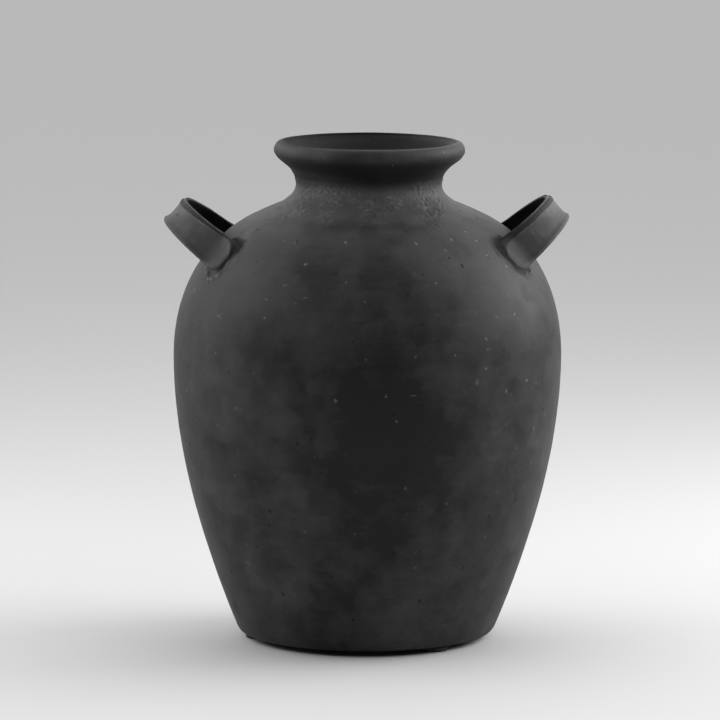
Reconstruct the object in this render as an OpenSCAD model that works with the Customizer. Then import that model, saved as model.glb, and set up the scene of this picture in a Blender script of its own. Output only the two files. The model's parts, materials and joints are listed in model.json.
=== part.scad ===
// Black clay storage pot with two strap handles, on three stick-on rubber pads.
// Millimetres. +Z is up and the soles of the pads stand on z = 0, under the pot's axis.
// The handles stand out along X, one on each side, and the front of the pot faces -Y.
//
// The clay is five ring-shaped sections that meet at bevelled butt joints, two pulled strap
// handles, and a coil of luting clay round each of the four handle roots.

/* [Body] */
// Height of the pot, pads included
pot_height = 305; // [300:1:312]
// Radius of the flat underside
foot_radius = 75; // [72:0.5:78]
// Radius at the widest point of the belly
belly_radius = 118.5; // [114:0.5:123]
// Height of the widest point of the belly
belly_height = 175; // [168:1:182]
// Thickness of the clay wall
wall = 8.5; // [7:0.5:9.5]
// Thickness of the clay floor
floor_thickness = 10; // [8:0.5:13]
// Radius where the inside of the floor starts to turn up
floor_radius = 58; // [52:1:62]
// How far the joint at the belly steps down from the outside to the inside
belly_bevel = 4; // [2:0.5:7]

/* [Neck and lip] */
// Radius where the shoulder ends and the neck is joined on
neck_root_radius = 57; // [55:0.5:59]
// Height where the shoulder ends and the neck is joined on
neck_root_height = 266; // [264:0.5:267]
// Outside radius at the neck's narrowest point
neck_radius = 44.6; // [43:0.2:46]
// Radius of the straight bore through the neck
throat_radius = 36; // [34:0.5:38]
// Length of the straight bore through the neck
throat_length = 11; // [9:0.5:12]
// Radius of the rolled lip
lip_radius = 58.2; // [56:0.2:60]
// Radius of the lip's highest ring
crest_radius = 53.5; // [52.5:0.1:54.5]

/* [Handles] */
// Width of the clay strap
strap_width = 20; // [17:0.5:22]
// Thickness of the clay strap
strap_thickness = 5.5; // [4.5:0.5:7]
// Radius of the loop, to the middle of the strap
loop_radius = 35; // [32:0.5:37]
// Slope of the loop's plane above level, in degrees
loop_rise = 41; // [36:1:46]
// Distance of the loop's centre from the pot's axis
loop_centre_x = 89.5; // [88:0.5:91]
// Height of the loop's centre
loop_centre_z = 239.2; // [238:0.2:240]
// Width of the shallow channel along the outer face of the strap
channel_width = 14; // [10:1:15]
// Depth of the shallow channel along the outer face of the strap
channel_depth = 1.4; // [1:0.1:2]
// Radius of the coil of clay pressed round a handle root
lute_radius = 4; // [3:0.25:4.2]

/* [Feet] */
// Diameter of a rubber pad
pad_diameter = 19; // [15:1:19]
// Thickness of a rubber pad
pad_thickness = 3.1; // [2.5:0.1:4]
// Thickness of the adhesive disc over a pad
adhesive_thickness = 0.4; // [0.3:0.1:0.8]
// Radius of the circle that the pads stand on
pad_circle_radius = 65; // [60:0.5:65]
// Direction of the front pad, in degrees from +X
pad_bearing = -52; // [-60:1:-45]

/* [Hidden] */

$fn = 144;
arc_steps = 10;
clay = [0.13, 0.13, 0.135];
wet_clay = [0.18, 0.18, 0.185];
rubber = [0.03, 0.03, 0.03];
glue = [0.72, 0.70, 0.62];

base_z = pad_thickness + adhesive_thickness;
floor_z = base_z + floor_thickness;

// A station of the outline is [radius, height, heading]. The heading is the way the outline
// runs there: 0 is outward, 90 is up and 180 is inward.
foot = [foot_radius, base_z, 0];
heel = [foot_radius + 6, base_z + 7.5, 67];
base_joint = [foot_radius + 13.5, base_z + 26.5, 69.5];
flank = [(foot_radius + belly_radius) / 2 + 8.7, base_z + 79.5, 75];
belly = [belly_radius, belly_height, 90];
shoulder = [belly_radius - 32.5, neck_root_height - 16, 141];
neck_root = [neck_root_radius, neck_root_height, 156];
waist = [neck_radius, neck_root_height + 12.5, 90];
under_lip = [neck_radius + 4.2, waist[1] + 10.5, 45];
lip = [lip_radius, pot_height - 5.5, 90];
crest = [crest_radius, pot_height, 180];
lip_edge = [crest_radius - 1, pot_height - 1.5, 262];

// The same stations on the inside of the wall
throat_low = [throat_radius, waist[1] - throat_length / 2 - 1, 90];
throat_high = [throat_radius, throat_low[1] + throat_length, 90];
inner_floor = [floor_radius, floor_z, 0];
inner_belly = [belly_radius - wall, belly_height - belly_bevel, 90];
inner_lip_edge = [lip_edge[0], lip_edge[1], 38];

// Half the straight length across the strap, between its round edges
strap_flat = (strap_width - strap_thickness) / 2;
// Length of strap that runs on past the half circle, to be trimmed off at the shoulder
arm_length = 12;
// Radius of a circle that cuts the channel's width and depth
channel_radius = (pow(channel_width / 2, 2) + pow(channel_depth, 2)) / (2 * channel_depth);
// The coil's middle line lies just outside the strap, and just over the shoulder's surface
lute_ring = strap_thickness / 2 + 1.4;
lute_lift = 0.5;
pad_chamfer = 0.6;
adhesive_inset = 0.5;

// ---------------------------------------------------------------- outline

// The point one wall thickness inside a station, square to the outline
function inset(s) = [s[0] - wall * sin(s[2]), s[1] + wall * cos(s[2]), s[2]];

function heading(s) = [cos(s[2]), sin(s[2])];

// Length of a cubic curve's handles that makes it follow a circle's arc
function handle_length(chord, turn) =
    abs(turn) < 0.01 ? chord / 3 : chord * (2 / 3) * tan(turn / 4) / sin(turn / 2);

function spot(s) = [s[0], s[1]];

// A cubic curve from station a to station b, without the last point
function arc(a, b) =
    let (p0 = spot(a), p3 = spot(b))
    let (reach = handle_length(norm(p3 - p0), abs(b[2] - a[2])))
    let (p1 = p0 + reach * heading(a), p2 = p3 - reach * heading(b))
    [for (i = [0 : arc_steps - 1]) let (t = i / arc_steps, u = 1 - t)
        u * u * u * p0 + 3 * u * u * t * p1 + 3 * u * t * t * p2 + t * t * t * p3];

function reversed(points) = [for (i = [len(points) - 1 : -1 : 0]) points[i]];

// The points through a list of stations, the last one included
function run(stations) = concat(
    [for (i = [0 : len(stations) - 2]) for (p = arc(stations[i], stations[i + 1])) p],
    [spot(stations[len(stations) - 1])]);

// A ring of wall between an outer and an inner list of stations, both from the bottom up
module wall_ring(outer, inner) {
    rotate_extrude() polygon(concat(run(outer), reversed(run(inner))));
}

// Everything within the body's outer surface, up to the neck, to trim the handles against
module body_envelope() {
    rotate_extrude()
        polygon(concat([[0, base_z]], run([foot, heel, base_joint, flank, belly, shoulder, neck_root]),
                       [[0, neck_root_height]]));
}

// ---------------------------------------------------------------- clay body

module base_disc() {
    color(clay) rotate_extrude()
        polygon(concat([[0, base_z]], run([foot, heel, base_joint]),
                       reversed(run([inner_floor, inset(base_joint)])), [[0, floor_z]]));
}

module lower_wall() {
    color(clay) wall_ring([base_joint, flank, belly],
                          [inset(base_joint), inset(flank), inner_belly]);
}

module shoulder_wall() {
    color(clay) wall_ring([belly, shoulder, neck_root],
                          [inner_belly, inset(shoulder), inset(neck_root)]);
}

module neck_collar() {
    inner = concat(run([inset(neck_root), throat_low]), run([throat_high, inset(under_lip)]));
    color(clay) rotate_extrude()
        polygon(concat(run([neck_root, waist, under_lip]), reversed(inner)));
}

module rim_lip() {
    inner = run([inset(under_lip), inner_lip_edge]);
    rim = run([under_lip, lip, crest, lip_edge]);
    color(clay) rotate_extrude() polygon(concat(rim, reversed([for (i = [0 : arc_steps - 1]) inner[i]])));
}

// ---------------------------------------------------------------- handles

// Sets its children in the right-hand loop's frame: X runs out along the loop's plane, Y
// across the loop and Z across the strap. side is 1 for the right handle and -1 for the left.
module loop_frame(side) {
    mirror([side < 0 ? 1 : 0, 0, 0])
        translate([loop_centre_x, 0, loop_centre_z]) rotate([0, -loop_rise, 0]) children();
}

// The strap's section, at its distance from the loop's centre: round edges, and a shallow
// channel along the outer face
module strap_section() {
    difference() {
        translate([loop_radius, 0]) union() {
            square([strap_thickness, 2 * strap_flat], center = true);
            for (end = [-1, 1]) translate([0, end * strap_flat]) circle(d = strap_thickness);
        }
        translate([loop_radius + strap_thickness / 2 - channel_depth + channel_radius, 0])
            circle(r = channel_radius);
    }
}

// Half a circle of strap with a straight arm at each end
module strap() {
    rotate([0, 0, -90]) rotate_extrude(angle = 180) strap_section();
    for (arm = [0, 1]) mirror([0, arm, 0]) translate([-arm_length, 0, 0])
        rotate([90, 0, 90]) linear_extrude(arm_length) strap_section();
}

module handle(side) {
    color(clay) difference() {
        loop_frame(side) strap();
        body_envelope();
    }
}

module handle_left() { handle(-1); }
module handle_right() { handle(1); }

// A coil of clay round the strap, as a racetrack: two half rings joined by straight rods
module lute_coil() {
    for (end = [0, 1]) mirror([0, end, 0]) {
        translate([0, strap_flat, 0]) rotate_extrude(angle = 180)
            translate([lute_ring, 0]) circle(r = lute_radius);
        translate([end == 0 ? lute_ring : -lute_ring, strap_flat, 0]) rotate([90, 0, 0])
            cylinder(r = lute_radius, h = 2 * strap_flat);
    }
}

// The luting at one root: end is -1 at the front and 1 at the back
module luting(side, end) {
    color(wet_clay) difference() {
        loop_frame(side) translate([lute_lift, end * loop_radius, 0]) rotate([90, 0, 90]) lute_coil();
        loop_frame(side) strap();
        body_envelope();
    }
}

module luting_left_front() { luting(-1, -1); }
module luting_left_back() { luting(-1, 1); }
module luting_right_front() { luting(1, -1); }
module luting_right_back() { luting(1, 1); }

// ---------------------------------------------------------------- feet

module at_pad(index) {
    rotate([0, 0, pad_bearing + index * 120]) translate([pad_circle_radius, 0, 0]) children();
}

module pad(index) {
    color(rubber) at_pad(index) {
        cylinder(d1 = pad_diameter - 2 * pad_chamfer, d2 = pad_diameter, h = pad_chamfer);
        translate([0, 0, pad_chamfer]) cylinder(d = pad_diameter, h = pad_thickness - pad_chamfer);
    }
}

module adhesive(index) {
    color(glue) at_pad(index) translate([0, 0, pad_thickness])
        cylinder(d = pad_diameter - 2 * adhesive_inset, h = adhesive_thickness);
}

module pad_front() { pad(0); }
module pad_rear() { pad(1); }
module pad_left() { pad(2); }
module adhesive_front() { adhesive(0); }
module adhesive_rear() { adhesive(1); }
module adhesive_left() { adhesive(2); }

base_disc();
lower_wall();
shoulder_wall();
neck_collar();
rim_lip();
handle_left();
handle_right();
luting_left_front();
luting_left_back();
luting_right_front();
luting_right_back();
pad_front();
pad_rear();
pad_left();
adhesive_front();
adhesive_rear();
adhesive_left();
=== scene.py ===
"""A black clay storage pot with two strap handles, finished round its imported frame.

Lengths are metres, +Z is up and the front of the pot faces -Y. Each clay piece is a grid of points
that follows the frame's outline. One field of hand marks and one lean run over the body and the clay
smeared round the handle roots, so those pieces meet without a step.
"""

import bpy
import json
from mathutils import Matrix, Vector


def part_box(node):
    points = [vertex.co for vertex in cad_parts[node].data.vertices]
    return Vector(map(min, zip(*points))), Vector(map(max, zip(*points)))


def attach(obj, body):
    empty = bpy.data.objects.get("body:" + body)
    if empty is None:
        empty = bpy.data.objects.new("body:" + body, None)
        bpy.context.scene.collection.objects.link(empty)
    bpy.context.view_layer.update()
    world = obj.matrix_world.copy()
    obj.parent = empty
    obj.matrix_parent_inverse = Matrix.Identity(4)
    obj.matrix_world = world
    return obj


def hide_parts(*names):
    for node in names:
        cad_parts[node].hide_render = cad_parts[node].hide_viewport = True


bl_info = {
    "name": "Black clay pot",
    "version": (1, 0, 0),
    "blender": (4, 5, 0),
    "location": "View3D > Sidebar > Clay pot",
    "description": "Builds a two-handled black clay pot on rubber pads, and a studio stage for it",
    "category": "Add Mesh",
}

import itertools
import json
import math

import bpy
import numpy as np
from bpy.props import FloatProperty, FloatVectorProperty, IntProperty, PointerProperty
from mathutils import Vector

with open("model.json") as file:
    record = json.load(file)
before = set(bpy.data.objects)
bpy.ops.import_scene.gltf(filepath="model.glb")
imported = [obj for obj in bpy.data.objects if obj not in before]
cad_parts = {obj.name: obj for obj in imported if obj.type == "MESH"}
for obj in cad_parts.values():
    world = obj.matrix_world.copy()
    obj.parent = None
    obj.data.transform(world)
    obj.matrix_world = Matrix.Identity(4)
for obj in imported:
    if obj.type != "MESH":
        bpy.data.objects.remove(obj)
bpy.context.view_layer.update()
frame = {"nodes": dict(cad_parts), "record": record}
BOX = {node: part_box(node) for node in frame["nodes"]}
MOUNTS = {mount["name"]: mount for mount in frame["record"]["mounts"]}
MM = 0.001
SIDES = {"left": -1, "right": 1}
ENDS = {"front": -1, "back": 1}
PADS = ("front", "rear", "left")
SEAM_ROWS = 3  # rows of points between the two corners of a butt joint


# ---------------------------------------------------------------- settings


def length(name, description, default, low=0.0, high=1.0):
    """A property for a length in metres."""
    return FloatProperty(name=name, description=description, default=default, min=low, max=high,
                         precision=5, unit="LENGTH")


def share(name, description, default, low=0.0, high=1.0):
    """A property for a plain number."""
    return FloatProperty(name=name, description=description, default=default, min=low, max=high,
                         precision=4)


def colour(name, description, default):
    """A property for a linear colour."""
    return FloatVectorProperty(name=name, description=description, default=default, size=3,
                               min=0.0, max=1.0, subtype="COLOR")


def spot(name, description, default):
    """A property for a point, or for a reach along each axis."""
    return FloatVectorProperty(name=name, description=description, default=default, size=3,
                               precision=5, unit="LENGTH", subtype="TRANSLATION")


class PotShape(bpy.types.PropertyGroup):
    """Sizes of the clay body. A size that the frame's boxes give has its default from them."""

    foot_radius: length("Foot radius", "Radius of the flat underside", 75 * MM)
    heel_reach: length("Heel reach", "How far the heel stands out past the foot", 6 * MM)
    heel_rise: length("Heel rise", "How far the heel's curve rises", 7.5 * MM)
    flank_radius: length("Flank radius", "Radius half way up the lower wall", 105.45 * MM)
    flank_height: length("Flank height", "Height of the flank radius", 83 * MM)
    belly_radius: length("Belly radius", "Widest radius", BOX["lower_wall"][1].x)
    belly_height: length("Belly height", "Height of the widest radius", BOX["lower_wall"][1].z)
    shoulder_radius: length("Shoulder radius", "Radius at the middle of the shoulder", 86 * MM)
    shoulder_height: length("Shoulder height", "Height of the shoulder radius", 250 * MM)
    root_radius: length("Neck root radius", "Radius where neck and shoulder meet",
                        BOX["neck_collar"][1].x)
    root_height: length("Neck root height", "Height where neck and shoulder meet",
                        BOX["shoulder_wall"][1].z)
    neck_radius: length("Neck radius", "Radius at the neck's narrowest point", 44.6 * MM)
    neck_height: length("Neck height", "Height of the neck's narrowest point", 278.5 * MM)
    lip_radius: length("Lip radius", "Widest radius of the lip", BOX["rim_lip"][1].x)
    crest_radius: length("Crest radius", "Radius of the lip's highest ring", 53.5 * MM)
    wall: length("Wall", "Thickness of the clay", 8.5 * MM)
    floor_thickness: length("Floor", "Thickness of the clay floor", 10 * MM)
    floor_radius: length("Floor radius", "Radius where the floor turns up inside", 58 * MM)
    lean: length("Lean", "How far the lip stands to the right of the foot", 1.9 * MM)
    tilt: share("Tilt", "Slope of the lip, down to the right", 0.005)
    sway: length("Sway", "Depth of the broad hollows left by the hands", 0.16 * MM)
    rough: length("Neck roughness", "Depth of the dried slip round the neck", 0.38 * MM)
    columns: IntProperty(name="Columns", description="Points round the body", default=512,
                         min=64, max=640)


class HandleShape(bpy.types.PropertyGroup):
    """Sizes of a strap handle in the frame of its loop."""

    centre_x: length("Centre", "Distance of the loop's centre from the axis", 89.5 * MM)
    centre_z: length("Centre height", "Height of the loop's centre", 239.2 * MM)
    rise: share("Rise", "Slope of the loop's plane in degrees", 41.0, 0, 90)
    radius: length("Loop radius", "Radius to the middle of the strap", 35 * MM)
    half_width: length("Half width", "Half of the strap's width at the bight", 9.4 * MM)
    flare: length("Flare", "How much wider the upper edge is at the roots", 4.6 * MM)
    bight_lift: length("Lift", "How much higher the right handle's bight is", 1.2 * MM)
    thickness: length("Thickness", "Thickness of the strap", 5.5 * MM)
    bevel: length("Bevel", "Width of the bevel along the strap's upper edge", 4.2 * MM)
    channel: length("Channel", "Depth of the channel along the outer face", 1.5 * MM)
    foot_spread: length("Foot spread", "How far a root's tongue lies over the shoulder", 12.5 * MM)
    foot_sink: length("Foot sink", "How far a tongue's tip is below the loop's centre", 5.3 * MM)
    foot_shift: length("Foot shift", "Added to the right foot's height and taken from the left's, "
                       "because the pot leans to the right", 0.5 * MM)


class LutingShape(bpy.types.PropertyGroup):
    """Sizes of the clay smeared round a handle root, and of the strap's foot that it surrounds. Both
    are measured on the shoulder, across the foot and along the strap's width."""

    reach_across: length("Reach across", "Half of the patch's width", 18 * MM)
    reach_along: length("Reach along", "Half of the patch's height", 20.5 * MM)
    foot_across: length("Foot across", "Half of the foot's thickness", 7.4 * MM)
    foot_along: length("Foot along", "Half of the foot's width", 11.2 * MM)
    foot_corner: length("Foot corner", "Radius of the foot's corners", 6 * MM)
    foot_offset: length("Foot offset", "How far the foot is off the patch's middle", 0.6 * MM)
    slant: share("Slant", "Degrees between the strap's width and the outline", 14, 0, 90)


class ClayLook(bpy.types.PropertyGroup):
    """Colours and finish of the smoke-fired clay."""

    dark: colour("Dark clay", "Well smoked, rubbed clay", (0.0090, 0.0090, 0.0093))
    pale: colour("Pale clay", "Dry, dusty clay", (0.050, 0.050, 0.051))
    # Dust: real flecks, scratches and wear, and also the painted highlight on the strap's edges and the
    # luting's ridge.
    dust: colour("Dust", "Flecks, scratches and worn edges", (0.145, 0.143, 0.138))
    # Painted shade: the near-black painted into pits, the crevices at the handle roots, under the lip,
    # inside the neck, and on the strap's inner face and bevel.
    painted_shade: colour("Soot", "Pits, crevices and the smoked inside", (0.004, 0.004, 0.004))
    gloss: share("Rubbed roughness", "Roughness where the clay was rubbed", 0.44)
    matte: share("Dry roughness", "Roughness of the dry clay", 0.72)
    # The middle and reach of a darker patch on the front of the belly.
    front_patch_middle: spot("Fire cloud", "Middle of the dark cloud", (12 * MM, -130 * MM, 115 * MM))
    front_patch_reach: spot("Cloud reach", "How far it reaches", (66 * MM, 90 * MM, 105 * MM))


class StageLook(bpy.types.PropertyGroup):
    """The floor, lights and camera."""

    floor: colour("Floor", "Colour of the floor", (0.56, 0.56, 0.56))
    distance: length("Camera distance", "From the pot's axis, level", 3.596, 0.5, 20)
    height: length("Camera height", "Above the floor", 0.666, 0.0, 5)
    offset: length("Camera offset", "How far left of the axis the camera stands", 3.9 * MM)
    pitch: share("Camera pitch", "Degrees below level", 7.85, -90, 90)
    lens: share("Lens", "Focal length in millimetres", 297.1, 10, 1000)
    left_power: share("Left softbox", "Power in watts", 4.7, 0, 1000)
    right_power: share("Right softbox", "Power in watts", 10.5, 0, 1000)
    left_fill: share("Left fill", "Power in watts of the high light at the left front", 5.0, 0, 1000)
    right_fill: share("Right fill", "Power in watts of the high light at the right front", 4.5, 0, 1000)
    sky_dim: share("Dim sky", "Brightness of the sky in front", 0.03, 0, 10)
    sky_behind: share("Sky behind", "Brightness added behind the pot", 0.5, 0, 10)
    sky_above: share("Sky above", "Brightness added above the pot", 1.2, 0, 10)
    horizon: share("Horizon", "Brightness of the thin pale band at the horizon", 0.5, 0, 10)


# ---------------------------------------------------------------- fields of noise


def hashed(cells, seed):
    """A repeatable number from 0 to 1 for each whole-number cell: its coordinates are multiplied
    by large primes, joined bit by bit and stirred."""
    stirred = cells.astype(np.int64).astype(np.uint64) * np.array(
        [73856093, 19349663, 83492791], dtype=np.uint64)
    mixed = stirred[..., 0] ^ stirred[..., 1] ^ stirred[..., 2] ^ np.uint64(seed * 40503 + 977)
    word = np.uint64(0xFFFFFFFF)
    mixed = ((mixed ^ (mixed >> np.uint64(15))) * np.uint64(2246822519)) & word
    mixed = ((mixed ^ (mixed >> np.uint64(13))) * np.uint64(3266489917)) & word
    return (mixed ^ (mixed >> np.uint64(16))) / 4294967295.0


def noise(points, size, seed):
    """A smooth field from -1 to 1: hashed numbers at the corners of boxes of that size, blended
    along each axis by the fifth-degree fade 6t^5 - 15t^4 + 10t^3."""
    scaled = points / np.asarray(size)
    cells = np.floor(scaled)
    part = scaled - cells
    fade = part * part * part * (part * (part * 6 - 15) + 10)
    total = 0.0
    for corner in itertools.product((0, 1), repeat=3):
        near = np.array(corner)
        weight = np.where(near == 1, fade, 1 - fade).prod(axis=-1)
        total = total + weight * hashed(cells + near, seed)
    return 2 * total - 1


def smooth(value, low, high):
    """0 below low, 1 above high, and 3t^2 - 2t^3 between."""
    t = np.clip((value - low) / (high - low), 0, 1)
    return t * t * (3 - 2 * t)


def hump(value, centre, width):
    """A bell curve: 1 at the centre, and 1/e at that width from it."""
    return np.exp(-(((value - centre) / width) ** 2))


# ---------------------------------------------------------------- outline


def station(radius, height, heading):
    """A point of the outline and the way it runs there: 0 is outward, 90 up and 180 inward."""
    return np.array([radius, height, heading], float)


def outline(shape):
    """The stations of the body's outer surface, by name."""
    base = BOX["base_disc"][0].z
    lip_low = BOX["rim_lip"][0].z
    top = BOX["rim_lip"][1].z
    return {
        "centre": station(0, base, 0),
        "foot": station(shape.foot_radius, base, 0),
        "heel": station(shape.foot_radius + shape.heel_reach, base + shape.heel_rise, 67),
        "base_joint": station(BOX["base_disc"][1].x, BOX["lower_wall"][0].z, 69.5),
        "flank": station(shape.flank_radius, shape.flank_height, 75),
        "belly": station(shape.belly_radius, shape.belly_height, 90),
        "shoulder": station(shape.shoulder_radius, shape.shoulder_height, 141),
        "root": station(shape.root_radius, shape.root_height, 156),
        "waist": station(shape.neck_radius, shape.neck_height, 90),
        "under_lip": station(shape.neck_radius + 4.2 * MM, lip_low, 45),
        "lip": station(shape.lip_radius, top - 5.5 * MM, 90),
        "crest": station(shape.crest_radius, top, 180),
        "lip_edge": station(shape.crest_radius - 1 * MM, top - 1.5 * MM, 262),
    }


def inset(point, wall):
    """The station one wall thickness inside another, square to the outline."""
    turn = math.radians(point[2])
    return station(point[0] - wall * math.sin(turn), point[1] + wall * math.cos(turn), point[2])


def arc(start, end, steps):
    """Rows of radius, height and outward normal along a cubic curve from one station to the next.
    The curve's handles are those that follow a circle's arc: two thirds of the chord, times the
    tangent of a quarter of the turn over the sine of half of it."""
    first, last = start[:2], end[:2]
    turn = math.radians(abs(end[2] - start[2]))
    chord = np.hypot(*(last - first))
    reach = chord / 3 if turn < 1e-4 else chord * 2 / 3 * math.tan(turn / 4) / math.sin(turn / 2)
    ways = [np.array([math.cos(math.radians(s[2])), math.sin(math.radians(s[2]))])
            for s in (start, end)]
    second, third = first + reach * ways[0], last - reach * ways[1]
    t = np.linspace(0, 1, steps + 1)[:, None]
    u = 1 - t
    points = u**3 * first + 3 * u * u * t * second + 3 * u * t * t * third + t**3 * last
    slope = u * u * (second - first) + 2 * u * t * (third - second) + t * t * (last - third)
    slope /= np.hypot(slope[:, 0], slope[:, 1])[:, None]
    return np.column_stack([points, slope[:, 1], -slope[:, 0]])


def run(stations, steps):
    """The rows of an outline through several stations, with that many steps to each stretch."""
    rows = [arc(a, b, n) for a, b, n in zip(stations, stations[1:], steps)]
    return np.vstack([part[:-1] for part in rows[:-1]] + [rows[-1]])


def back(rows):
    """The same rows walked the other way, so that the normals face the other way too."""
    return rows[::-1] * np.array([1, 1, -1, -1])


def seam(start, end):
    """Rows between two points of a butt joint. They have no normal, so hand marks leave them."""
    t = np.linspace(0, 1, SEAM_ROWS + 2)[1:-1, None]
    between = start[:2] + t * (end[:2] - start[:2])
    return np.column_stack([between, np.zeros((SEAM_ROWS, 2))])


def ring(outer, inner):
    """A closed section of wall from its outer and inner runs, both from the bottom up, and the
    four rows at its corners."""
    inside = back(inner)
    rows = np.vstack([outer, seam(outer[-1], inside[0]), inside, seam(inside[-1], outer[0])])
    top = len(outer) - 1
    inner_top = top + SEAM_ROWS + 1
    corners = [0, top, inner_top, inner_top + len(inner) - 1]
    return rows, corners


def distance_along(rows):
    """How far along an outline each of its rows is."""
    return np.concatenate([[0], np.cumsum(np.hypot(*np.diff(rows[:, :2], axis=0).T))])


def revolve(rows, columns):
    """Points and normals of a section turned round the Z axis: radius times the cosine and sine of
    the angle, and the height."""
    angle = np.linspace(0, 2 * math.pi, columns, endpoint=False)
    spin = np.stack([np.cos(angle), np.sin(angle), np.ones(columns)], axis=-1)
    points = rows[:, None, [0, 0, 1]] * spin
    normals = rows[:, None, [2, 2, 3]] * spin
    return points, normals


def body_stations(shape):
    """The outer stations and the ones inside the wall, which follow them one wall away."""
    outer = outline(shape)
    inner = {name: inset(point, shape.wall) for name, point in outer.items()}
    throat = MOUNTS["throat"]
    bore = throat["dims"]["r_mm"] * MM
    half = throat["dims"]["length_mm"] * MM / 2
    inner["floor_centre"] = station(0, outer["foot"][1] + shape.floor_thickness, 0)
    inner["floor"] = station(shape.floor_radius, inner["floor_centre"][1], 0)
    inner["belly"] = station(shape.belly_radius - shape.wall, BOX["shoulder_wall"][0].z, 90)
    inner["throat_low"] = station(bore, throat["pos_m"][2] - half, 90)
    inner["throat_high"] = station(bore, throat["pos_m"][2] + half, 90)
    inner["lip_edge"] = station(outer["lip_edge"][0], outer["lip_edge"][1], 38)
    return outer, inner


# ---------------------------------------------------------------- the potter's hands


def hand_marks(points, normals, shape):
    """How far the clay stands proud of the true outline: broad hollows, faint rings left by
    scraping, rough dried slip over the neck and round its root, and a groove at the neck's joint.
    Inside, the rings are deeper. The underside stays flat."""
    z = points[..., 2]
    outside = smooth((points * normals).sum(axis=-1), -1 * MM, 1 * MM)
    sway = noise(points, 48 * MM, 11) + 0.45 * noise(points, 17 * MM, 12) - 1.0
    rings = noise(points, (90 * MM, 90 * MM, 2.6 * MM), 13)
    rings = rings + noise(points, (60 * MM, 60 * MM, 7 * MM), 14)
    height = shape.sway * sway + (0.03 * outside + 0.22 * (1 - outside)) * MM * rings

    near_root = hump(z, shape.root_height + 1 * MM, 11 * MM)
    on_neck = smooth(z, shape.root_height - 3 * MM, shape.root_height + 4 * MM)
    on_neck = on_neck * (1 - smooth(z, shape.neck_height + 6 * MM, shape.neck_height + 12 * MM))
    patchy = smooth(noise(points, 13 * MM, 21), -0.35, 0.45)
    crackle = 1 - 2.2 * np.abs(noise(points, 2.6 * MM, 22)) + 0.5 * noise(points, 1.3 * MM, 23)
    height = height + outside * shape.rough * crackle * patchy * np.maximum(near_root, on_neck) * 0.6

    joint = hump(z, shape.root_height + 1.6 * MM, 1.5 * MM)
    broken = 0.55 + 0.45 * noise(points, 9 * MM, 24)
    height = height - 0.42 * MM * outside * joint * broken
    return height * smooth(normals[..., 2], -1.0, -0.8)


def lean(points, shape):
    """The pot's own crookedness: it leans to the right with the square of the height, and its lip
    slopes down a little to the right."""
    part = points[..., 2] / BOX["rim_lip"][1].z
    moved = points.copy()
    moved[..., 0] += shape.lean * part**2
    moved[..., 2] -= shape.tilt * (points[..., 0] + shape.lip_radius) * smooth(part, 0.8, 1.0)
    return moved


def worked(rows, shape):
    """A turned section with its hand marks and its lean."""
    points, normals = revolve(rows, shape.columns)
    marked = points + normals * hand_marks(points, normals, shape)[..., None]
    return lean(marked, shape)


# ---------------------------------------------------------------- meshes


def grid_faces(rows, columns, wrap_rows):
    """The corners of each cell of a grid whose columns wrap round."""
    across = np.arange(columns)
    beyond = (across + 1) % columns
    low = np.arange(rows if wrap_rows else rows - 1)
    high = (low + 1) % rows
    corners = [low[:, None] * columns + across, low[:, None] * columns + beyond,
               high[:, None] * columns + beyond, high[:, None] * columns + across]
    return np.stack(corners, axis=-1).reshape(-1, 4)


def skin(name, points, material, closed=False, corners=(), mirrored=False, tone=None):
    """A smooth mesh from a grid of points, at the origin. A closed grid joins its last row to its
    first; any other has the middle of its first and last rows as poles. Corner rows are sharp, and
    a mirrored grid has its faces turned over. Tone, if given, is one number a point: below 0 is
    painted shade and above 0 is wear and painted highlight."""
    rows, columns = points.shape[:2]
    places = points.reshape(-1, 3)
    faces = grid_faces(rows, columns, closed).tolist()
    if not closed:
        across = np.arange(columns)
        beyond = (across + 1) % columns
        first, last = len(places), len(places) + 1
        places = np.vstack([places, points[0].mean(axis=0), points[-1].mean(axis=0)])
        faces += np.column_stack([beyond, across, np.full(columns, first)]).tolist()
        top = (rows - 1) * columns
        faces += np.column_stack([top + across, top + beyond, np.full(columns, last)]).tolist()
    if mirrored:
        faces = [face[::-1] for face in faces]
    mesh = bpy.data.meshes.new(name)
    mesh.from_pydata(places.tolist(), [], faces)
    mesh.shade_smooth()
    if len(corners):
        ends = np.empty(len(mesh.edges) * 2, np.int32)
        mesh.edges.foreach_get("vertices", ends)
        row_of = ends.reshape(-1, 2) // columns
        sharp = (row_of[:, 0] == row_of[:, 1]) & np.isin(row_of[:, 0], corners)
        mesh.edges.foreach_set("use_edge_sharp", sharp)
    if tone is not None:
        marks = np.zeros(len(places), np.float32)
        marks[:tone.size] = tone.ravel()
        mesh.attributes.new("tone", "FLOAT", "POINT").data.foreach_set("value", marks)
    mesh.materials.append(material)
    piece = bpy.data.objects.new(name, mesh)
    bpy.context.scene.collection.objects.link(piece)
    return piece


def settle(piece, node):
    """Makes a piece stand for its CAD node."""
    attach(piece, "root")
    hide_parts(node)


# ---------------------------------------------------------------- shader maths


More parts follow.
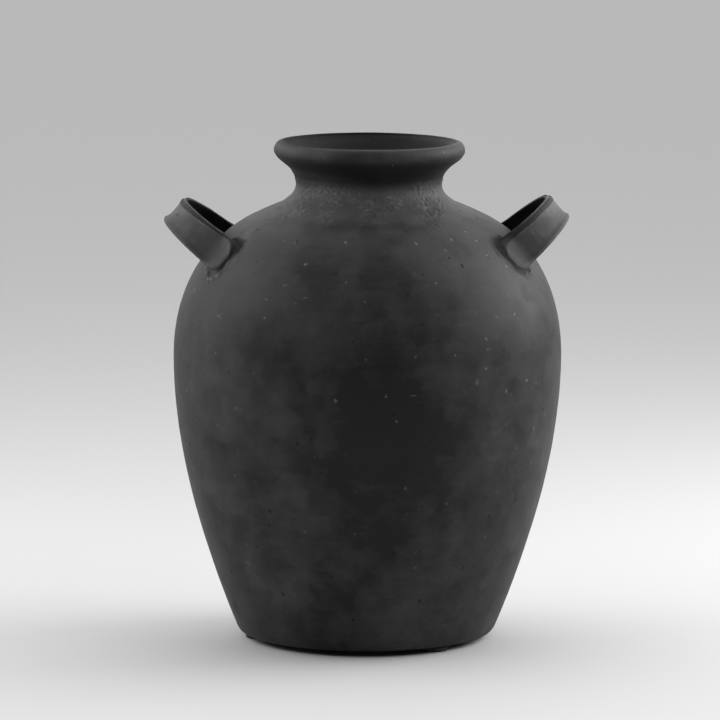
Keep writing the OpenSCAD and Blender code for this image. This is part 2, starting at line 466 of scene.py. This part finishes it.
class Value:
    """One output of a node. Arithmetic on it adds the Math node that works it out."""

    def __init__(self, nodes, socket):
        self.nodes = nodes
        self.socket = socket

    def math(self, operation, *values):
        """A Math node on those values."""
        return self.nodes.node("ShaderNodeMath", {"operation": operation}, values)

    def __add__(self, other):
        return self.math("ADD", self, other)

    def __radd__(self, other):
        return self.math("ADD", other, self)

    def __sub__(self, other):
        return self.math("SUBTRACT", self, other)

    def __rsub__(self, other):
        return self.math("SUBTRACT", other, self)

    def __mul__(self, other):
        return self.math("MULTIPLY", self, other)

    def __rmul__(self, other):
        return self.math("MULTIPLY", other, self)

    def most(self, other):
        """The larger of two values."""
        return self.math("MAXIMUM", self, other)

    def rise(self, low, high):
        """0 at low, 1 at high, and smooth between; low may be the larger of the two."""
        return self.nodes.node("ShaderNodeMapRange", {"interpolation_type": "SMOOTHSTEP"},
                               {"Value": self, "From Min": low, "From Max": high})


class Nodes:
    """A node tree under construction."""

    def __init__(self, tree):
        self.tree = tree

    def node(self, kind, settings=None, values=(), output=0):
        """Adds a node of that kind. Its settings come first, then the values or links of its
        sockets, by position or by name. The answer is one of its outputs."""
        made = self.tree.nodes.new(kind)
        for setting, choice in (settings or {}).items():
            setattr(made, setting, choice)
        named = values.items() if isinstance(values, dict) else enumerate(values)
        for key, value in named:
            self.feed(made.inputs[key], value)
        return Value(self, made.outputs[output])

    def feed(self, socket, value):
        """Links a value to a socket, or sets the socket to a plain number or colour."""
        if isinstance(value, Value):
            self.tree.links.new(value.socket, socket)
        elif isinstance(value, (int, float)):
            socket.default_value = value
        else:
            plain = tuple(value)
            short = len(plain) == 3 and len(socket.default_value) == 4
            socket.default_value = (*plain, 1.0) if short else plain


class Shader(Nodes):
    """A material under construction."""

    def __init__(self, name):
        self.material = bpy.data.materials.new(name)
        self.material.use_nodes = True
        super().__init__(self.material.node_tree)
        self.surface = self.tree.nodes["Principled BSDF"]
        self.place = self.node("ShaderNodeTexCoord", output="Object")

    def set(self, **values):
        """Sets the surface's sockets; an underscore in a name stands for a space."""
        for name, value in values.items():
            self.feed(self.surface.inputs[name.replace("_", " ")], value)

    def stretched(self, *factors):
        """Object position with each axis multiplied by its factor."""
        return self.node("ShaderNodeVectorMath", {"operation": "MULTIPLY"}, [self.place, factors])

    def warped(self, amount, size):
        """Object position pushed about by noise of that size."""
        push = self.node("ShaderNodeTexNoise", None, {"Vector": self.place, "Scale": 1 / size},
                         "Color")
        centred = self.node("ShaderNodeVectorMath", {"operation": "SUBTRACT"}, [push, (0.5,) * 3])
        scaled = self.node("ShaderNodeVectorMath", {"operation": "MULTIPLY"},
                           [centred, (amount,) * 3])
        return self.node("ShaderNodeVectorMath", {"operation": "ADD"}, [self.place, scaled])

    def noise(self, size, detail=2.0, roughness=0.5, place=None):
        """Noise from 0 to 1 with features of that size."""
        return self.node("ShaderNodeTexNoise", None,
                         {"Vector": place or self.place, "Scale": 1 / size, "Detail": detail,
                          "Roughness": roughness})

    def spots(self, spacing, radius, kept, place=None):
        """Round spots, one to a cell of that spacing, in that share of the cells."""
        cells = {"Vector": place or self.place, "Scale": 1 / spacing}
        distance = self.node("ShaderNodeTexVoronoi", None, cells, "Distance")
        tint = self.node("ShaderNodeTexVoronoi", None, cells, "Color")
        chance = self.node("ShaderNodeSeparateColor", None, [tint], 0)
        reach = radius / spacing
        return distance.rise(reach, reach * 0.35) * chance.rise(1 - kept, 1 - kept * 0.6)

    def patches(self, spacing, place):
        """A tone from 0 to 1 that is even within patches of that size and changes softly between
        them."""
        tint = self.node("ShaderNodeTexVoronoi", {"feature": "SMOOTH_F1"},
                         {"Vector": place, "Scale": 1 / spacing, "Smoothness": 0.28}, "Color")
        return self.node("ShaderNodeSeparateColor", None, [tint], 1)

    def blend(self, amount, first, second):
        """A colour that runs from the first to the second."""
        return self.node("ShaderNodeMix", {"data_type": "RGBA"},
                         {"Factor": amount, 6: first, 7: second}, 2)

    def bump(self, height, depth):
        """A normal for a height from 0 to 1 that stands for that depth."""
        return self.node("ShaderNodeBump", None, {"Height": height, "Distance": depth,
                                                 "Strength": 1.0})

    def front_dark_patch(self, middle, reach):
        """1 at a point and 0 from an ellipsoid of that reach round it outward, with a soft uneven edge:
        a darker patch on the clay."""
        offset = self.node("ShaderNodeVectorMath", {"operation": "SUBTRACT"},
                           [self.warped(60 * MM, 45 * MM), middle])
        scaled = self.node("ShaderNodeVectorMath", {"operation": "DIVIDE"}, [offset, reach])
        far = self.node("ShaderNodeVectorMath", {"operation": "LENGTH"}, [scaled], "Value")
        return far.rise(1.0, 0.15)

    def distance_from_axis(self):
        """Distance from the Z axis, in millimetres."""
        flat = self.stretched(1000, 1000, 0)
        return self.node("ShaderNodeVectorMath", {"operation": "LENGTH"}, [flat], "Value")

    def height_above_floor(self):
        """Object Z, in millimetres."""
        return self.node("ShaderNodeSeparateXYZ", None, [self.place], 2) * 1000.0


def clay_material(name, look, shape, lift=1.0, wear=0.0):
    """Smoke-fired clay: broad smoke clouds, smaller dabs, fine grain, pale flecks and short
    scratches, pits dark with painted shade, a dry crackled band round the neck's foot, a darker
    patch on the front, and painted shade under the lip and inside the neck. Lift multiplies its
    colours and wear makes all of it dustier."""
    clay = Shader(name)
    clouds = clay.noise(62 * MM, 2.0, 0.5)
    dabs = clay.noise(15 * MM, 4.0, 0.62, clay.warped(7 * MM, 11 * MM))
    flakes = clay.noise(7.5 * MM, 5.0, 0.7, clay.warped(4 * MM, 5 * MM))
    grain = clay.noise(1.1 * MM, 3.0, 0.6)
    brushed = clay.noise(9 * MM, 3.0, 0.6, clay.stretched(0.3, 0.3, 3.2))
    patches = clay.patches(26 * MM, clay.warped(16 * MM, 18 * MM))
    scales = clay.patches(11 * MM, clay.warped(8 * MM, 8 * MM))

    # Where things are, in millimetres from the neck's root up and from the axis out.
    height = clay.height_above_floor()
    radius = clay.distance_from_axis()
    root = shape.root_height / MM
    neck = height.rise(root - 7, root + 2) * height.rise(root + 19, root + 11)
    # Masks for painted shade: inside the neck, and under the lip, where the lip shades the neck.
    inside = (radius - height * 0.49).rise(-93, -97) * height.rise(root, root + 6)
    under_lip = height.rise(root + 10, root + 19) * height.rise(root + 35, root + 28)
    under_lip = under_lip * radius.rise(62, 56) * (1 - inside)
    # A darker patch on the front of the belly.
    cloud = clay.front_dark_patch(look.front_patch_middle, look.front_patch_reach)

    # How dusty the clay is, from 0 to 1.
    dusty = clouds.rise(0.34, 0.70) * 0.34 + dabs.rise(0.36, 0.68) * 0.26 + patches * 0.30
    dusty = dusty + scales * 0.16 + brushed.rise(0.4, 0.7) * 0.08
    dusty = dusty + neck * 0.3 + (grain - 0.5) * 0.16 + wear - cloud * 0.62 - 0.08

    # Small marks: flecks and scratches are mostly on the upper half, and pits, dark with painted shade,
    # are all over.
    upper = 0.35 + 0.65 * height.rise(90, 190)
    flecks = clay.spots(6 * MM, 1.25 * MM, 0.24, clay.warped(3.4 * MM, 2.2 * MM))
    large = clay.spots(17 * MM, 2.4 * MM, 0.22, clay.warped(7 * MM, 3.2 * MM))
    dashes = clay.spots(9 * MM, 1.0 * MM, 0.16, clay.stretched(0.30, 0.30, 1.3))
    strokes = clay.spots(11 * MM, 1.0 * MM, 0.14, clay.stretched(1.4, 1.4, 0.32))
    marks = (flecks * 0.75).most(large * 0.62).most(dashes * 0.6).most(strokes * 0.55)
    marks = marks * (0.2 + 0.8 * dabs.rise(0.42, 0.58)) * upper
    pits = clay.spots(8.2 * MM, 1.5 * MM, 0.16, clay.warped(4 * MM, 2 * MM))
    pits = pits.most(clay.spots(14 * MM, 1.3 * MM, 0.16, clay.stretched(0.26, 0.26, 1.2)) * 0.7)
    dry = dabs.rise(0.38, 0.60) * clay.noise(30 * MM, 2.0, 0.5).rise(0.44, 0.60)
    crackle = clay.noise(2.3 * MM, 3.0, 0.7, clay.warped(1.6 * MM, 2 * MM)).rise(0.42, 0.62) * dry

    # The mesh's own tone is painted shade below 0, and wear and painted highlight above it.
    hand = clay.node("ShaderNodeAttribute", {"attribute_name": "tone"}, output="Fac")
    # Painted shade from the mesh's tone, inside the neck, under the lip and in the pits.
    painted_shade = (0.0 - hand).most(inside * 0.88).most(under_lip * 0.72).most(pits * 0.75)
    # Dust and painted highlight: flecks, the neck's dry band, and the mesh's wear and painted
    # highlight.
    dust_and_highlight = marks.most(neck * (0.26 + crackle * 0.6)).most(hand)
    tone = clay.blend(dusty, [c * lift for c in look.dark], [c * lift for c in look.pale])
    tone = clay.blend(dust_and_highlight, tone, look.dust)
    tone = clay.blend(painted_shade, tone, look.painted_shade)

    relief = grain * 0.14 + dabs * 0.5 + flakes.rise(0.46, 0.62) * 0.14 - pits * 0.9
    relief = relief + marks * 0.5 + neck * crackle * 1.6 + brushed * 0.2
    polish = (1 - dusty.rise(0.1, 0.8)) * 0.5 + patches * 0.3 + scales * 0.2
    roughness = look.matte - polish * (look.matte - look.gloss)
    clay.set(Base_Color=tone, Roughness=roughness + painted_shade.most(0.0) * 0.22,
             Normal=clay.bump(relief, 0.2 * MM), IOR=1.5, Specular_IOR_Level=0.2)
    return clay.material


def rubber_material():
    """Black rubber with a satin skin, faint mould grain and a little lint."""
    rubber = Shader("pad_rubber")
    grain = rubber.noise(0.5 * MM, 2.0)
    lint = rubber.spots(2.4 * MM, 0.22 * MM, 0.2)
    tone = rubber.blend(lint * 0.4, (0.008, 0.008, 0.008), (0.10, 0.10, 0.10))
    rubber.set(Base_Color=tone, Roughness=0.30 + grain * 0.16, Normal=rubber.bump(grain, 0.03 * MM))
    return rubber.material


def adhesive_material():
    """A cloudy film of adhesive that has picked up clay dust."""
    film = Shader("pad_adhesive")
    cloud = film.noise(2 * MM, 3.0)
    tone = film.blend(cloud.rise(0.35, 0.65), (0.10, 0.095, 0.085), (0.20, 0.19, 0.17))
    film.set(Base_Color=tone, Roughness=0.35 + cloud * 0.3)
    return film.material


def floor_material(look):
    """Plain matte white board."""
    board = Shader("stage_floor")
    board.set(Base_Color=look.floor, Roughness=0.9, Specular_IOR_Level=0.2)
    return board.material


def shared(name, make):
    """The material of that name, made the first time it is asked for."""
    return bpy.data.materials.get(name) or make()


def clay_of(scene, name, lift=1.0, wear=0.0):
    """The clay of that name, made the first time it is asked for. The handles' is painted paler and
    dustier than the body's, as painted light on the handles' faces, and the luting's is a little
    dustier."""
    return shared(name, lambda: clay_material(name, scene.pot_clay, scene.pot_shape, lift, wear))


# ---------------------------------------------------------------- clay body


def make_base(scene):
    """The floor and heel: a closed section from the middle of the underside round to the middle
    of the inside."""
    shape = scene.pot_shape
    outer, inner = body_stations(shape)
    outside = run([outer[n] for n in ("centre", "foot", "heel", "base_joint")], (24, 12, 16))
    inside = back(run([inner[n] for n in ("floor_centre", "floor", "base_joint")], (16, 20)))
    rows = np.vstack([outside, seam(outside[-1], inside[0]), inside])
    corners = [len(outside) - 1, len(outside) + SEAM_ROWS]
    points = worked(rows[1:-1], shape)
    clay = clay_of(scene, "smoked_clay")
    piece = skin("clay_base_disc", points, clay, False, np.array(corners) - 1)
    settle(piece, "base_disc")


def make_ring(scene, node, outer_names, outer_steps, inner_names, inner_steps):
    """One ring of wall between two butt joints."""
    shape = scene.pot_shape
    outer, inner = body_stations(shape)
    outside = run([outer[n] for n in outer_names], outer_steps)
    inside = run([inner[n] for n in inner_names], inner_steps)
    rows, corners = ring(outside, inside)
    clay = clay_of(scene, "smoked_clay")
    piece = skin("clay_" + node, worked(rows, shape), clay, True, corners)
    settle(piece, node)


def make_rim(scene):
    """The lip: its outside runs from the neck, over the roll and down to the sharp inner edge."""
    shape = scene.pot_shape
    outer, inner = body_stations(shape)
    outside = run([outer[n] for n in ("under_lip", "lip", "crest", "lip_edge")], (24, 14, 5))
    inside = back(run([inner["under_lip"], inner["lip_edge"]], (18,)))
    rows = np.vstack([outside, inside[1:], seam(inside[-1], outside[0])])
    corners = [0, len(outside) - 1, len(outside) + len(inside) - 2]
    clay = clay_of(scene, "smoked_clay")
    piece = skin("clay_rim_lip", worked(rows, shape), clay, True, corners)
    settle(piece, "rim_lip")


# ---------------------------------------------------------------- handles


class Loop:
    """The frame of one handle's loop: out along its plane, across it from front to back, and up
    across the strap."""

    def __init__(self, side, shape):
        turn = math.radians(shape.rise)
        self.side = side
        self.centre = np.array([side * shape.centre_x, 0, shape.centre_z])
        self.out = np.array([side * math.cos(turn), 0, math.sin(turn)])
        self.over = np.array([0, 1, 0])
        self.up = np.array([-side * math.sin(turn), 0, math.cos(turn)])

    def place(self, out, over, up):
        """Points of the pot's frame for places in the loop's."""
        return (self.centre + out[..., None] * self.out + over[..., None] * self.over
                + up[..., None] * self.up)


def strap_path(loop, shape, rows=280):
    """The middle line of a strap, in the plane of its loop, from one foot round to the other. A foot
    lies along the shoulder, and the strap turns out from it into half a circle."""
    radius = shape.radius
    spread = radius + shape.foot_spread
    tip_out = shape.foot_shift * loop.side - shape.foot_sink
    neck_out = 8 * MM
    stations = [station(tip_out, -spread, 68), station(neck_out, -radius, 5),
                station(radius, 0, 90), station(neck_out, radius, 175),
                station(tip_out, spread, 112)]
    sixth = rows // 6
    return run(stations, (sixth, 2 * sixth, 2 * sixth, sixth))


def strap_grid(loop, shape, seed, columns=104):
    """A strap carried along its path, and its tone. The section is a rounded rectangle, each
    coordinate a small power of a cosine or sine, with a channel pressed into its outer face between
    two rounded rims, and a bevel along its upper edge. It widens and thickens towards its feet and
    narrows to a tongue at each tip. Painted shade darkens its inside and its bevel, and its edges
    carry pale lines of wear and painted highlight."""
    path = strap_path(loop, shape)
    along = distance_along(path)
    whole = along[-1]
    from_bight = np.abs(2 * along / whole - 1)[:, None]
    from_end = np.minimum(along, whole - along)[:, None]

    def tip(reach, least):
        """A quarter of an ellipse over the last stretch before each end."""
        short = 1 - np.clip(from_end / reach, 0, 1)
        return least + (1 - least) * np.sqrt(1 - short**2)

    angle = np.linspace(0, 2 * math.pi, columns, endpoint=False)
    cosine, sine = np.cos(angle), np.sin(angle)
    outer = cosine > 0
    right = loop.side > 0
    flare = np.where(sine < 0, 1, 0.45 if right else 0.05) * shape.flare * from_bight**1.6
    half = (shape.half_width + flare) * tip(13 * MM, 0.36)
    thick = shape.thickness / 2 * (1 + 0.30 * smooth(from_bight, 0.62, 1.0)) * tip(5 * MM, 0.35)
    wide = -half * np.sign(sine) * np.abs(sine) ** 0.42
    deep = thick * np.sign(cosine) * np.abs(cosine) ** 0.42
    across = np.clip(wide / (0.84 * half), -1, 1)
    channel = shape.channel * (1 - 0.80 * smooth(from_bight, 0.35, 0.9))
    deep = deep - outer * channel * (1 - across**4) ** 2
    rim = hump(np.abs(wide / half), 0.80, 0.10)
    deep = deep + outer * rim * 0.30 * MM * tip(8 * MM, 0)
    bevel = shape.bevel * (1 - 0.7 * (not right) * smooth(from_bight, 0.2, 0.95))
    on_bevel = wide - half + bevel
    deep = deep - outer * 0.34 * np.maximum(on_bevel, 0)

    lift = shape.bight_lift * right * (1 - smooth(from_bight, 0.1, 0.9))
    out = path[:, None, 0] + path[:, None, 2] * deep + 1.1 * lift
    over = path[:, None, 1] + path[:, None, 3] * deep
    points = loop.place(out, over, wide + lift)
    lumps = 0.24 * noise(points, 12 * MM, seed) + 0.09 * noise(points, 3.4 * MM, seed + 1) - 0.2
    normal = path[:, None, 2, None] * loop.out + path[:, None, 3, None] * loop.over
    points = points + normal * (np.sign(cosine) * lumps * MM)[..., None]

    # Pale lines along the edges: wear and painted highlight. Dark inner face and bevel: painted shade.
    facing_out = cosine > -0.3
    worn = hump(on_bevel, -0.3 * MM, 0.45 * MM) + hump(wide, half - 0.3 * MM, 0.45 * MM)
    worn = (worn + hump(wide, 0.5 * MM - half, 0.5 * MM)) * facing_out
    worn = worn * (1 - smooth(from_bight, 0.6, 0.85))
    painted_shade = np.where(cosine < -0.3, 0.96, 0) + np.where(outer & (on_bevel > 0), 0.62, 0)
    chipped = 0.6 + 0.6 * noise(points, 4 * MM, seed + 2)
    tone = np.where(worn > 0.35, 0.6 * worn * chipped, -painted_shade)
    return points, tone


def make_handle(scene, name):
    """One pulled strap handle."""
    side = SIDES[name]
    shape = scene.pot_handle
    points, tone = strap_grid(Loop(side, shape), shape, 31 if side < 0 else 47)
    # A paler, dustier copy of the clay: painted light on the handles.
    clay = clay_of(scene, "handled_clay", lift=1.5, wear=0.3)
    piece = skin("strap_handle_" + name, points, clay, mirrored=side < 0, tone=tone)
    settle(piece, "handle_" + name)


def on_shoulder(shape, middle, around, climb):
    """Points of the shoulder's surface and its normals there, for distances from a middle point
    round the pot and up along its outline."""
    outer, _ = body_stations(shape)
    wall = run([outer[n] for n in ("belly", "shoulder", "root")], (300, 120))
    along = distance_along(wall)
    gap = np.hypot(wall[:, 0] - math.hypot(middle[0], middle[1]), wall[:, 1] - middle[2])
    spot_along = np.clip(along[np.argmin(gap)] + climb, 0, along[-1])
    r, z, nr, nz = (np.interp(spot_along, along, wall[:, k]) for k in range(4))
    angle = math.atan2(middle[1], middle[0]) + around / r
    points = np.stack([r * np.cos(angle), r * np.sin(angle), z], axis=-1)
    normal = np.stack([nr * np.cos(angle), nr * np.sin(angle), nz], axis=-1)
    return points, normal / np.linalg.norm(normal, axis=-1, keepdims=True)


def outside_foot(patch, outward, upward):
    """Distance in millimetres from the outline of a strap's foot, a rounded rectangle; it is below 0
    under the foot."""
    corner = patch.foot_corner
    beyond_x = np.abs(outward - patch.foot_offset) - (patch.foot_across - corner)
    beyond_y = np.abs(upward - patch.foot_offset) - (patch.foot_along - corner)
    away = np.hypot(np.maximum(beyond_x, 0), np.maximum(beyond_y, 0))
    return (away + np.minimum(np.maximum(beyond_x, beyond_y), 0) - corner) / MM


def make_luting(scene, side_name, end_name):
    """Clay smeared round one handle root: an oval patch on the shoulder, in polar steps from its
    middle. A crevice follows the strap's rounded foot, a lumpy ridge stands outside it, and the
    patch feathers out at a ragged edge. Its underside is a shallow bowl in the wall."""
    side, end = SIDES[side_name], ENDS[end_name]
    shape, strap, patch = scene.pot_shape, scene.pot_handle, scene.pot_luting
    columns = 176
    turn = np.linspace(0, 2 * math.pi, columns, endpoint=False)
    ray = np.stack([np.cos(turn), np.sin(turn), np.full(columns, float(side + 2 * end))], axis=-1)
    ragged = 1 + 0.16 * noise(ray, 0.55, 61) + 0.07 * noise(ray, 0.22, 62)
    reach = ragged / np.hypot(np.cos(turn) / patch.reach_across, np.sin(turn) / patch.reach_along)
    top = np.linspace(0, 1, 46)[1:]
    under = np.linspace(1, 0, 10)[1:-1]
    part = np.concatenate([top, under])[:, None]
    sideways = part * reach * np.cos(turn)
    upward = part * reach * np.sin(turn)
    outward = sideways * side * end

    # The oval's long axis lies along the strap's width, which slopes off the outline's own line.
    slant = -side * end * math.radians(patch.slant)
    around = sideways * math.cos(slant) - upward * math.sin(slant)
    climb = sideways * math.sin(slant) + upward * math.cos(slant)
    middle = Loop(side, strap).place(np.array(0.0), np.array(end * (strap.radius + 6 * MM)),
                                     np.array(0.8 * MM))
    on_wall, normal = on_shoulder(shape, middle, around, climb)

    away = outside_foot(patch, outward, upward)
    lumps = 0.8 * noise(on_wall, 4.5 * MM, 63) + 0.5 * noise(on_wall, 2.0 * MM, 64)
    broken = noise(on_wall, 7 * MM, 65)
    smear = smooth(-upward, 5 * MM, 11 * MM) * (1.0 if side < 0 else 0.35)
    upper = smooth(upward, -3 * MM, 9 * MM)
    front = smooth(outward, 1 * MM, 8 * MM)
    width = 2.0 + 1.3 * upper + 1.4 * front + 0.9 * broken
    crevice = hump(away, 0.4 + 0.8 * upper + 0.9 * front, width)
    crevice = crevice * (1 - 0.85 * smear) * (0.85 + 0.3 * lumps)
    ridge = hump(away, 3.8 + upper + 2.4 * front + 1.2 * broken, 1.6) * (1 + 1.2 * smear)
    ridge = ridge * np.clip(0.5 + 1.5 * lumps, 0, 3)

    # Heights above the wall, in millimetres. The rim of the patch ends just inside the wall.
    fall = np.clip(1 - part**2, 0, 1)
    filled = 0.45 + 0.55 * (1 - np.minimum(crevice, 1)) + 0.12 * lumps
    high = filled * fall**1.5 + 0.9 * ridge * fall**0.8 - 0.12
    low = -0.12 - 2.2 * fall**1.35
    is_top = (np.arange(len(part)) < len(top))[:, None]
    marks = hand_marks(on_wall, normal, shape)
    points = on_wall + normal * (np.where(is_top, high, low) * MM + marks)[..., None]
    # Tone: painted highlight on the ridge's lumps, and painted shade in the crevice and under the
    # strap's foot.
    tone = 0.32 * ridge * np.maximum(lumps, 0) - 1.8 * crevice * fall**0.5
    tone = np.where(away < 0.3, -0.9 * (1 - smear), tone)
    clay = clay_of(scene, "smeared_clay", wear=0.25)
    piece = skin(f"luting_clay_{side_name}_{end_name}", lean(points, shape), clay, mirrored=True,
                 tone=tone)
    settle(piece, f"luting_{side_name}_{end_name}")


# ---------------------------------------------------------------- feet


def button(low, high, rounding, columns=96):
    """A round button with rounded edges, between the two corners of a box."""
    radius = (high.x - low.x) / 2
    centre = np.array([(low.x + high.x) / 2, (low.y + high.y) / 2, 0])
    flat = radius - rounding
    stations = [station(0, low.z, 0), station(flat, low.z, 0), station(radius, low.z + rounding, 90),
                station(radius, high.z - rounding, 90), station(flat, high.z, 180),
                station(0, high.z, 180)]
    points, _ = revolve(run(stations, (8, 8, 4, 8, 8))[1:-1], columns)
    return points + centre


def make_foot(name):
    """One stick-on rubber pad, and the adhesive film over it: buttons with soft and sharp edges."""
    for kind, title, rounding, make in (("pad", "rubber_pad_", 0.9 * MM, rubber_material),
                                        ("adhesive", "adhesive_film_", 0.12 * MM, adhesive_material)):
        node = f"{kind}_{name}"
        slot = "pad_rubber" if kind == "pad" else "pad_adhesive"
        settle(skin(title + name, button(*BOX[node], rounding), shared(slot, make)), node)


# ---------------------------------------------------------------- stage


def softbox(name, place, height, power):
    """A rectangular light that faces the pot and doesn't show itself."""
    data = bpy.data.lights.new(name, "AREA")
    data.shape = "RECTANGLE"
    data.size, data.size_y = 0.8, height
    data.energy = power
    lamp = bpy.data.objects.new(name, data)
    lamp.location = place
    to_pot = Vector((0, 0, 0.17)) - Vector(place)
    lamp.rotation_euler = to_pot.to_track_quat("-Z", "Y").to_euler()
    lamp.visible_camera = False
    bpy.context.scene.collection.objects.link(lamp)


def make_lights(look):
    """A softbox at each side, above the lip and a little behind the pot, and a fill higher up at
    each front corner."""
    softbox("left_softbox", (-0.95, 0.16, 0.60), 0.6, look.left_power)
    softbox("right_softbox", (0.95, 0.24, 0.60), 0.6, look.right_power)
    softbox("left_fill", (-1.05, -0.62, 1.0), 0.7, look.left_fill)
    softbox("right_fill", (1.05, -0.58, 1.0), 0.7, look.right_fill)


def make_floor(look):
    """A large round floor: one ring of points and a middle."""
    angle = np.linspace(0, 2 * math.pi, 96, endpoint=False)
    radius = np.array([0.5, 40.0])[:, None]
    points = np.stack([radius * np.cos(angle), radius * np.sin(angle), 0 * radius * angle], axis=-1)
    faces = grid_faces(2, 96, False)[:, ::-1].tolist() + [list(range(96))]
    mesh = bpy.data.meshes.new("stage_floor")
    mesh.from_pydata(points.reshape(-1, 3).tolist(), [], faces)
    mesh.materials.append(floor_material(look))
    floor = bpy.data.objects.new("stage_floor", mesh)
    bpy.context.scene.collection.objects.link(floor)


def make_sky(look):
    """Soft light from all round: brightest above and behind the pot and dim in front of it, with one
    grey in a thin band at the horizon to soften the floor's far edge."""
    world = bpy.data.worlds.new("studio")
    world.use_nodes = True
    sky = Nodes(world.node_tree)
    where = sky.node("ShaderNodeTexCoord", output="Generated")

    def glow(direction, low, high, strength):
        """Light that grows towards a direction, between two cosines of the angle to it."""
        facing = sky.node("ShaderNodeVectorMath", {"operation": "DOT_PRODUCT"},
                          [where, direction], "Value")
        return facing.rise(low, high) * (strength - look.sky_dim / 2) + look.sky_dim / 2

    light = glow((0, 1, 0), -0.35, 0.55, look.sky_behind)
    light = light + glow((0, 0.71, 0.71), 0.2, 0.95, look.sky_above)
    band = sky.node("ShaderNodeSeparateXYZ", None, [where], 2).rise(0.11, 0.03)
    light = light * (1 - band) + band * look.horizon
    sky.feed(sky.tree.nodes["Background"].inputs["Color"], light)
    bpy.context.scene.world = world


def make_camera(look):
    """The camera, a long way off and a little above the pot."""
    data = bpy.data.cameras.new("studio_camera")
    data.lens = look.lens
    data.sensor_width = 36.0  # millimetres, as the lens is
    camera = bpy.data.objects.new("studio_camera", data)
    camera.location = (-look.offset, -look.distance, look.height)
    camera.rotation_euler = (math.radians(90 - look.pitch), 0, 0)
    bpy.context.scene.collection.objects.link(camera)
    bpy.context.scene.camera = camera


# ---------------------------------------------------------------- operators


class CLAYPOT_OT_base(bpy.types.Operator):
    """Build the pot's floor and heel"""

    bl_idname = "claypot.base"
    bl_label = "Base"

    def execute(self, context):
        make_base(context.scene)
        return {"FINISHED"}


class CLAYPOT_OT_walls(bpy.types.Operator):
    """Build the lower wall and the shoulder wall, which meet at the belly"""

    bl_idname = "claypot.walls"
    bl_label = "Walls"

    def execute(self, context):
        make_ring(context.scene, "lower_wall", ("base_joint", "flank", "belly"), (42, 72),
                  ("base_joint", "flank", "belly"), (16, 24))
        make_ring(context.scene, "shoulder_wall", ("belly", "shoulder", "root"), (68, 44),
                  ("belly", "shoulder", "root"), (26, 14))
        return {"FINISHED"}


class CLAYPOT_OT_neck(bpy.types.Operator):
    """Build the neck collar"""

    bl_idname = "claypot.neck"
    bl_label = "Neck"

    def execute(self, context):
        make_ring(context.scene, "neck_collar", ("root", "waist", "under_lip"), (38, 24),
                  ("root", "throat_low", "throat_high", "under_lip"), (16, 8, 14))
        return {"FINISHED"}


class CLAYPOT_OT_rim(bpy.types.Operator):
    """Build the rolled lip"""

    bl_idname = "claypot.rim"
    bl_label = "Lip"

    def execute(self, context):
        make_rim(context.scene)
        return {"FINISHED"}


class CLAYPOT_OT_handles(bpy.types.Operator):
    """Build both strap handles and the clay smeared round their roots"""

    bl_idname = "claypot.handles"
    bl_label = "Handles"

    def execute(self, context):
        for side in SIDES:
            make_handle(context.scene, side)
            for end in ENDS:
                make_luting(context.scene, side, end)
        return {"FINISHED"}


class CLAYPOT_OT_feet(bpy.types.Operator):
    """Build the rubber pads and the adhesive over them"""

    bl_idname = "claypot.feet"
    bl_label = "Feet"

    def execute(self, context):
        for name in PADS:
            make_foot(name)
        return {"FINISHED"}


class CLAYPOT_OT_stage(bpy.types.Operator):
    """Build the floor, the sky, the lights and the camera"""

    bl_idname = "claypot.stage"
    bl_label = "Stage"

    def execute(self, context):
        look = context.scene.pot_stage
        make_floor(look)
        make_sky(look)
        make_camera(look)
        make_lights(look)
        context.scene.view_settings.view_transform = "Standard"
        return {"FINISHED"}


class CLAYPOT_PT_panel(bpy.types.Panel):
    """Lists the builders and the settings they read"""

    bl_idname = "CLAYPOT_PT_panel"
    bl_label = "Clay pot"
    bl_space_type = "VIEW_3D"
    bl_region_type = "UI"
    bl_category = "Clay pot"

    def draw(self, context):
        for operator in OPERATORS:
            self.layout.operator(operator.bl_idname)
        for attribute, group in GROUPS.items():
            settings = getattr(context.scene, attribute)
            for name in group.__annotations__:
                self.layout.prop(settings, name)


OPERATORS = (CLAYPOT_OT_base, CLAYPOT_OT_walls, CLAYPOT_OT_neck, CLAYPOT_OT_rim, CLAYPOT_OT_handles,
             CLAYPOT_OT_feet, CLAYPOT_OT_stage)
GROUPS = {"pot_shape": PotShape, "pot_handle": HandleShape, "pot_luting": LutingShape,
          "pot_clay": ClayLook, "pot_stage": StageLook}


def register():
    """Registers the settings, the operators and the panel."""
    for group in GROUPS.values():
        bpy.utils.register_class(group)
    for attribute, group in GROUPS.items():
        setattr(bpy.types.Scene, attribute, PointerProperty(type=group))
    for operator in OPERATORS:
        bpy.utils.register_class(operator)
    bpy.utils.register_class(CLAYPOT_PT_panel)


def unregister():
    """Takes them all away again, in the reverse order."""
    bpy.utils.unregister_class(CLAYPOT_PT_panel)
    for operator in reversed(OPERATORS):
        bpy.utils.unregister_class(operator)
    for attribute in GROUPS:
        delattr(bpy.types.Scene, attribute)
    for group in reversed(GROUPS.values()):
        bpy.utils.unregister_class(group)


def main():
    """Builds every piece and the stage."""
    register()
    bpy.ops.claypot.base()
    bpy.ops.claypot.walls()
    bpy.ops.claypot.neck()
    bpy.ops.claypot.rim()
    bpy.ops.claypot.handles()
    bpy.ops.claypot.feet()
    bpy.ops.claypot.stage()


if __name__ == "__main__":
    main()
